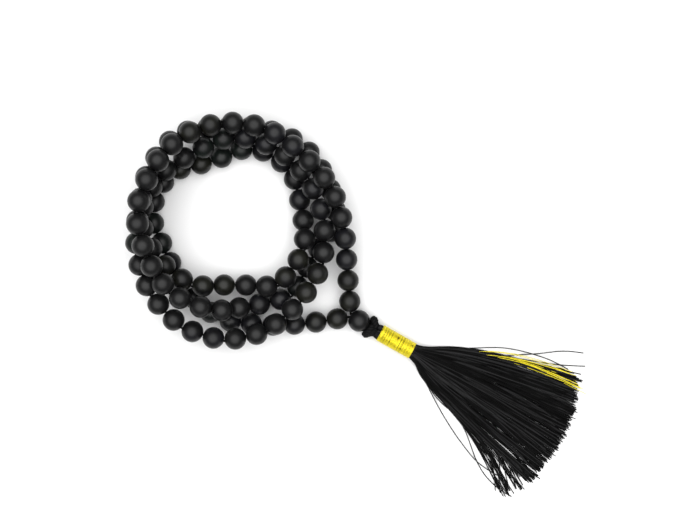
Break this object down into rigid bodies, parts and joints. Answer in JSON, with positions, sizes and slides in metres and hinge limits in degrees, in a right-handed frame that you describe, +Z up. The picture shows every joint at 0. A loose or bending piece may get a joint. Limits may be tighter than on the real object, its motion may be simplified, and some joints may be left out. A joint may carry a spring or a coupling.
{
  "type": "prayer bead string with tassel",
  "caption": "String of matte black round stone beads lying wound in four turns, closed by a guru bead with a knot, a gold-bound neck and a fanned thread tassel.",
  "frame": {"origin": "on the table under the middle of the whole piece's bounding box, tassel included", "axes": "+Z up from the table the beads lie on; +X along the longest extent, from the coil towards the tassel; +Y towards the far side of the coil, away from the tassel"},
  "size_m": [0.1666, 0.1406, 0.0316],
  "materials": {
    "black_stone": "matte to satin black stone",
    "black_cord": "twisted black thread",
    "black_thread": "black rayon thread, slight sheen",
    "gold_thread": "bright yellow metallic thread, wound"
  },
  "bodies": {
    "string": {"stringing_cord": "black_cord", "guru_knot": "black_cord"},
    "beads_001_002": {"beads_001_002": "black_stone"},
    "beads_003_004": {"beads_003_004": "black_stone"},
    "beads_005_006": {"beads_005_006": "black_stone"},
    "beads_007_008": {"beads_007_008": "black_stone"},
    "beads_009_010": {"beads_009_010": "black_stone"},
    "beads_011_012": {"beads_011_012": "black_stone"},
    "beads_013_014": {"beads_013_014": "black_stone"},
    "beads_015_016": {"beads_015_016": "black_stone"},
    "beads_017_018": {"beads_017_018": "black_stone"},
    "beads_019_020": {"beads_019_020": "black_stone"},
    "beads_021_022": {"beads_021_022": "black_stone"},
    "beads_023_024": {"beads_023_024": "black_stone"},
    "beads_025_026": {"beads_025_026": "black_stone"},
    "beads_027_028": {"beads_027_028": "black_stone"},
    "beads_029_030": {"beads_029_030": "black_stone"},
    "beads_031_032": {"beads_031_032": "black_stone"},
    "beads_033_034": {"beads_033_034": "black_stone"},
    "beads_035_036": {"beads_035_036": "black_stone"},
    "beads_037_038": {"beads_037_038": "black_stone"},
    "beads_039_040": {"beads_039_040": "black_stone"},
    "beads_041_042": {"beads_041_042": "black_stone"},
    "beads_043_044": {"beads_043_044": "black_stone"},
    "beads_045_046": {"beads_045_046": "black_stone"},
    "beads_047_048": {"beads_047_048": "black_stone"},
    "beads_049_050": {"beads_049_050": "black_stone"},
    "beads_051_052": {"beads_051_052": "black_stone"},
    "beads_053_054": {"beads_053_054": "black_stone"},
    "beads_055_056": {"beads_055_056": "black_stone"},
    "beads_057_058": {"beads_057_058": "black_stone"},
    "beads_059_060": {"beads_059_060": "black_stone"},
    "beads_061_062": {"beads_061_062": "black_stone"},
    "beads_063_064": {"beads_063_064": "black_stone"},
    "beads_065_066": {"beads_065_066": "black_stone"},
    "beads_067_068": {"beads_067_068": "black_stone"},
    "beads_069_070": {"beads_069_070": "black_stone"},
    "beads_071_072": {"beads_071_072": "black_stone"},
    "beads_073_074": {"beads_073_074": "black_stone"},
    "beads_075_076": {"beads_075_076": "black_stone"},
    "beads_077_078": {"beads_077_078": "black_stone"},
    "beads_079_080": {"beads_079_080": "black_stone"},
    "beads_081_082": {"beads_081_082": "black_stone"},
    "beads_083_084": {"beads_083_084": "black_stone"},
    "beads_085_086": {"beads_085_086": "black_stone"},
    "beads_087_088": {"beads_087_088": "black_stone"},
    "beads_089_090": {"beads_089_090": "black_stone"},
    "beads_091_092": {"beads_091_092": "black_stone"},
    "beads_093_094": {"beads_093_094": "black_stone"},
    "beads_095_096": {"beads_095_096": "black_stone"},
    "beads_097_098": {"beads_097_098": "black_stone"},
    "beads_099_100": {"beads_099_100": "black_stone"},
    "beads_101_102": {"beads_101_102": "black_stone"},
    "beads_103_104": {"beads_103_104": "black_stone"},
    "beads_105_106": {"beads_105_106": "black_stone"},
    "beads_107_108": {"beads_107_108": "black_stone"},
    "guru_bead": {"guru_bead": "black_stone"},
    "tassel_head": {"tassel_neck": "black_thread", "gold_binding": "gold_thread"},
    "tassel_skirt": {"tassel_skirt": "black_thread"}
  },
  "joints": [
    {"name": "guru_bead_spin", "type": "hinge", "parent": "string", "child": "guru_bead", "pos_m": [0.00129, -0.00637, 0.0041], "axis": [0.8704, -0.4924, 0], "continuous": true},
    {"name": "tassel_swing", "type": "hinge", "parent": "string", "child": "tassel_head", "pos_m": [0.00821, -0.01029, 0.00295], "axis": [0, 0, 1], "range_deg": [-30, 30]},
    {"name": "skirt_lift", "type": "hinge", "parent": "tassel_head", "child": "tassel_skirt", "pos_m": [0.0244, -0.01945, 0.0028], "axis": [-0.4924, -0.8704, 0], "range_deg": [0, 60]},
    {"name": "beads_001_002_spin", "type": "hinge", "parent": "string", "child": "beads_001_002", "pos_m": [-0.01091, -0.00623, 0.00405], "axis": [-0.9884, -0.1518, -0.0058], "continuous": true},
    {"name": "beads_003_004_spin", "type": "hinge", "parent": "string", "child": "beads_003_004", "pos_m": [-0.02694, -0.0078, 0.004], "axis": [-0.9991, -0.0429, -0.0002], "continuous": true},
    {"name": "beads_005_006_spin", "type": "hinge", "parent": "string", "child": "beads_005_006", "pos_m": [-0.04301, -0.00703, 0.004], "axis": [-0.9904, 0.1382, 0], "continuous": true},
    {"name": "beads_007_008_spin", "type": "hinge", "parent": "string", "child": "beads_007_008", "pos_m": [-0.05742, -0.00055, 0.004], "axis": [-0.7607, 0.6491, 0], "continuous": true},
    {"name": "beads_009_010_spin", "type": "hinge", "parent": "string", "child": "beads_009_010", "pos_m": [-0.06744, 0.0119, 0.004], "axis": [-0.4713, 0.882, 0], "continuous": true},
    {"name": "beads_011_012_spin", "type": "hinge", "parent": "string", "child": "beads_011_012", "pos_m": [-0.07426, 0.02649, 0.004], "axis": [-0.3752, 0.927, 0.0001], "continuous": true},
    {"name": "beads_013_014_spin", "type": "hinge", "parent": "string", "child": "beads_013_014", "pos_m": [-0.07378, 0.04192, 0.004], "axis": [0.433, 0.9014, -0.0001], "continuous": true},
    {"name": "beads_015_016_spin", "type": "hinge", "parent": "string", "child": "beads_015_016", "pos_m": [-0.06184, 0.05155, 0.004], "axis": [0.9725, 0.2329, 0.0001], "continuous": true},
    {"name": "beads_017_018_spin", "type": "hinge", "parent": "string", "child": "beads_017_018", "pos_m": [-0.04649, 0.0564, 0.00403], "axis": [0.9299, 0.3679, 0.0034], "continuous": true},
    {"name": "beads_019_020_spin", "type": "hinge", "parent": "string", "child": "beads_019_020", "pos_m": [-0.03123, 0.05521, 0.00402], "axis": [0.8617, -0.5074, -0.0046], "continuous": true},
    {"name": "beads_021_022_spin", "type": "hinge", "parent": "string", "child": "beads_021_022", "pos_m": [-0.02193, 0.04281, 0.00428], "axis": [0.2455, -0.9687, 0.0363], "continuous": true},
    {"name": "beads_023_024_spin", "type": "hinge", "parent": "string", "child": "beads_023_024", "pos_m": [-0.01922, 0.0277, 0.00839], "axis": [0.0866, -0.8806, 0.4658], "continuous": true},
    {"name": "beads_025_026_spin", "type": "hinge", "parent": "string", "child": "beads_025_026", "pos_m": [-0.0235, 0.01334, 0.01106], "axis": [-0.5862, -0.7954, -0.1539], "continuous": true},
    {"name": "beads_027_028_spin", "type": "hinge", "parent": "string", "child": "beads_027_028", "pos_m": [-0.03689, 0.00691, 0.00784], "axis": [-0.9741, 0.0466, -0.2211], "continuous": true},
    {"name": "beads_029_030_spin", "type": "hinge", "parent": "string", "child": "beads_029_030", "pos_m": [-0.05257, 0.007, 0.00917], "axis": [-0.9235, -0.0365, 0.3819], "continuous": true},
    {"name": "beads_031_032_spin", "type": "hinge", "parent": "string", "child": "beads_031_032", "pos_m": [-0.06698, 0.01182, 0.0121], "axis": [-0.7913, 0.6106, -0.0331], "continuous": true},
    {"name": "beads_033_034_spin", "type": "hinge", "parent": "string", "child": "beads_033_034", "pos_m": [-0.07675, 0.02432, 0.01162], "axis": [-0.4014, 0.9156, -0.0256], "continuous": true},
    {"name": "beads_035_036_spin", "type": "hinge", "parent": "string", "child": "beads_035_036", "pos_m": [-0.07675, 0.03976, 0.01125], "axis": [0.401, 0.9159, -0.0182], "continuous": true},
    {"name": "beads_037_038_spin", "type": "hinge", "parent": "string", "child": "beads_037_038", "pos_m": [-0.06659, 0.05183, 0.01095], "axis": [0.8343, 0.551, -0.0184], "continuous": true},
    {"name": "beads_039_040_spin", "type": "hinge", "parent": "string", "child": "beads_039_040", "pos_m": [-0.05242, 0.05945, 0.01101], "axis": [0.9198, 0.3915, 0.0253], "continuous": true},
    {"name": "beads_041_042_spin", "type": "hinge", "parent": "string", "child": "beads_041_042", "pos_m": [-0.03682, 0.06025, 0.01157], "axis": [0.9545, -0.2952, 0.0423], "continuous": true},
    {"name": "beads_043_044_spin", "type": "hinge", "parent": "string", "child": "beads_043_044", "pos_m": [-0.02314, 0.05216, 0.01151], "axis": [0.7187, -0.6936, -0.0499], "continuous": true},
    {"name": "beads_045_046_spin", "type": "hinge", "parent": "string", "child": "beads_045_046", "pos_m": [-0.01432, 0.0389, 0.01135], "axis": [0.3616, -0.9318, 0.0308], "continuous": true},
    {"name": "beads_047_048_spin", "type": "hinge", "parent": "string", "child": "beads_047_048", "pos_m": [-0.01165, 0.02318, 0.01188], "axis": [-0.0338, -0.9988, 0.0341], "continuous": true},
    {"name": "beads_049_050_spin", "type": "hinge", "parent": "string", "child": "beads_049_050", "pos_m": [-0.01612, 0.00796, 0.01178], "axis": [-0.5119, -0.8578, -0.046], "continuous": true},
    {"name": "beads_051_052_spin", "type": "hinge", "parent": "string", "child": "beads_051_052", "pos_m": [-0.02629, -0.00443, 0.01172], "axis": [-0.7415, -0.6698, 0.0384], "continuous": true},
    {"name": "beads_053_054_spin", "type": "hinge", "parent": "string", "child": "beads_053_054", "pos_m": [-0.04037, -0.01169, 0.0116], "axis": [-0.9749, -0.2163, -0.0534], "continuous": true},
    {"name": "beads_055_056_spin", "type": "hinge", "parent": "string", "child": "beads_055_056", "pos_m": [-0.05619, -0.01103, 0.01157], "axis": [-0.9537, 0.2968, 0.0493], "continuous": true},
    {"name": "beads_057_058_spin", "type": "hinge", "parent": "string", "child": "beads_057_058", "pos_m": [-0.06953, -0.00262, 0.01303], "axis": [-0.6724, 0.7289, 0.1287], "continuous": true},
    {"name": "beads_059_060_spin", "type": "hinge", "parent": "string", "child": "beads_059_060", "pos_m": [-0.07731, 0.01093, 0.01603], "axis": [-0.2799, 0.9297, 0.2396], "continuous": true},
    {"name": "beads_061_062_spin", "type": "hinge", "parent": "string", "child": "beads_061_062", "pos_m": [-0.07904, 0.02657, 0.01879], "axis": [0.0677, 0.9927, 0.0998], "continuous": true},
    {"name": "beads_063_064_spin", "type": "hinge", "parent": "string", "child": "beads_063_064", "pos_m": [-0.07651, 0.04243, 0.01941], "axis": [0.2454, 0.9692, -0.023], "continuous": true},
    {"name": "beads_065_066_spin", "type": "hinge", "parent": "string", "child": "beads_065_066", "pos_m": [-0.06995, 0.05654, 0.01636], "axis": [0.5554, 0.7543, -0.3501], "continuous": true},
    {"name": "beads_067_068_spin", "type": "hinge", "parent": "string", "child": "beads_067_068", "pos_m": [-0.05833, 0.06457, 0.00946], "axis": [0.8483, 0.2157, -0.4836], "continuous": true},
    {"name": "beads_069_070_spin", "type": "hinge", "parent": "string", "child": "beads_069_070", "pos_m": [-0.04324, 0.06625, 0.00477], "axis": [0.996, -0.01, -0.0892], "continuous": true},
    {"name": "beads_071_072_spin", "type": "hinge", "parent": "string", "child": "beads_071_072", "pos_m": [-0.02757, 0.06323, 0.00403], "axis": [0.9324, -0.3615, -0.0018], "continuous": true},
    {"name": "beads_073_074_spin", "type": "hinge", "parent": "string", "child": "beads_073_074", "pos_m": [-0.01513, 0.05353, 0.00402], "axis": [0.5769, -0.8168, -0.0002], "continuous": true},
    {"name": "beads_075_076_spin", "type": "hinge", "parent": "string", "child": "beads_075_076", "pos_m": [-0.00853, 0.03898, 0.004], "axis": [0.235, -0.972, -0.0012], "continuous": true},
    {"name": "beads_077_078_spin", "type": "hinge", "parent": "string", "child": "beads_077_078", "pos_m": [-0.0115, 0.02388, 0.004], "axis": [-0.5857, -0.8105, 0.0012], "continuous": true},
    {"name": "beads_079_080_spin", "type": "hinge", "parent": "string", "child": "beads_079_080", "pos_m": [-0.01993, 0.01017, 0.004], "axis": [-0.4588, -0.8886, -0.0012], "continuous": true},
    {"name": "beads_081_082_spin", "type": "hinge", "parent": "string", "child": "beads_081_082", "pos_m": [-0.03205, 0.00081, 0.00499], "axis": [-0.9697, -0.2143, 0.1171], "continuous": true},
    {"name": "beads_083_084_spin", "type": "hinge", "parent": "string", "child": "beads_083_084", "pos_m": [-0.04604, -0.00161, 0.01168], "axis": [-0.719, -0.0786, 0.6905], "continuous": true},
    {"name": "beads_085_086_spin", "type": "hinge", "parent": "string", "child": "beads_085_086", "pos_m": [-0.05994, 0.00104, 0.01767], "axis": [-0.9198, 0.3921, 0.0161], "continuous": true},
    {"name": "beads_087_088_spin", "type": "hinge", "parent": "string", "child": "beads_087_088", "pos_m": [-0.07125, 0.01103, 0.02131], "axis": [-0.4299, 0.8, 0.4186], "continuous": true},
    {"name": "beads_089_090_spin", "type": "hinge", "parent": "string", "child": "beads_089_090", "pos_m": [-0.0764, 0.02534, 0.02626], "axis": [-0.2033, 0.9604, 0.1903], "continuous": true},
    {"name": "beads_091_092_spin", "type": "hinge", "parent": "string", "child": "beads_091_092", "pos_m": [-0.07531, 0.04102, 0.02736], "axis": [0.3343, 0.9407, -0.057], "continuous": true},
    {"name": "beads_093_094_spin", "type": "hinge", "parent": "string", "child": "beads_093_094", "pos_m": [-0.068, 0.05479, 0.02403], "axis": [0.5632, 0.7475, -0.3521], "continuous": true},
    {"name": "beads_095_096_spin", "type": "hinge", "parent": "string", "child": "beads_095_096", "pos_m": [-0.05619, 0.06386, 0.01855], "axis": [0.8779, 0.3598, -0.3159], "continuous": true},
    {"name": "beads_097_098_spin", "type": "hinge", "parent": "string", "child": "beads_097_098", "pos_m": [-0.04073, 0.06574, 0.01702], "axis": [0.9823, -0.1329, 0.1318], "continuous": true},
    {"name": "beads_099_100_spin", "type": "hinge", "parent": "string", "child": "beads_099_100", "pos_m": [-0.02603, 0.05992, 0.01845], "axis": [0.8145, -0.5786, 0.043], "continuous": true},
    {"name": "beads_101_102_spin", "type": "hinge", "parent": "string", "child": "beads_101_102", "pos_m": [-0.0141, 0.0492, 0.01796], "axis": [0.6579, -0.7458, -0.1045], "continuous": true},
    {"name": "beads_103_104_spin", "type": "hinge", "parent": "string", "child": "beads_103_104", "pos_m": [-0.00639, 0.03564, 0.01479], "axis": [0.2869, -0.9152, -0.2832], "continuous": true},
    {"name": "beads_105_106_spin", "type": "hinge", "parent": "string", "child": "beads_105_106", "pos_m": [-0.0036, 0.02048, 0.01026], "axis": [0.0582, -0.9592, -0.2766], "continuous": true},
    {"name": "beads_107_108_spin", "type": "hinge", "parent": "string", "child": "beads_107_108", "pos_m": [-0.00251, 0.00492, 0.00621], "axis": [0.0768, -0.9709, -0.2267], "continuous": true}
  ]
}
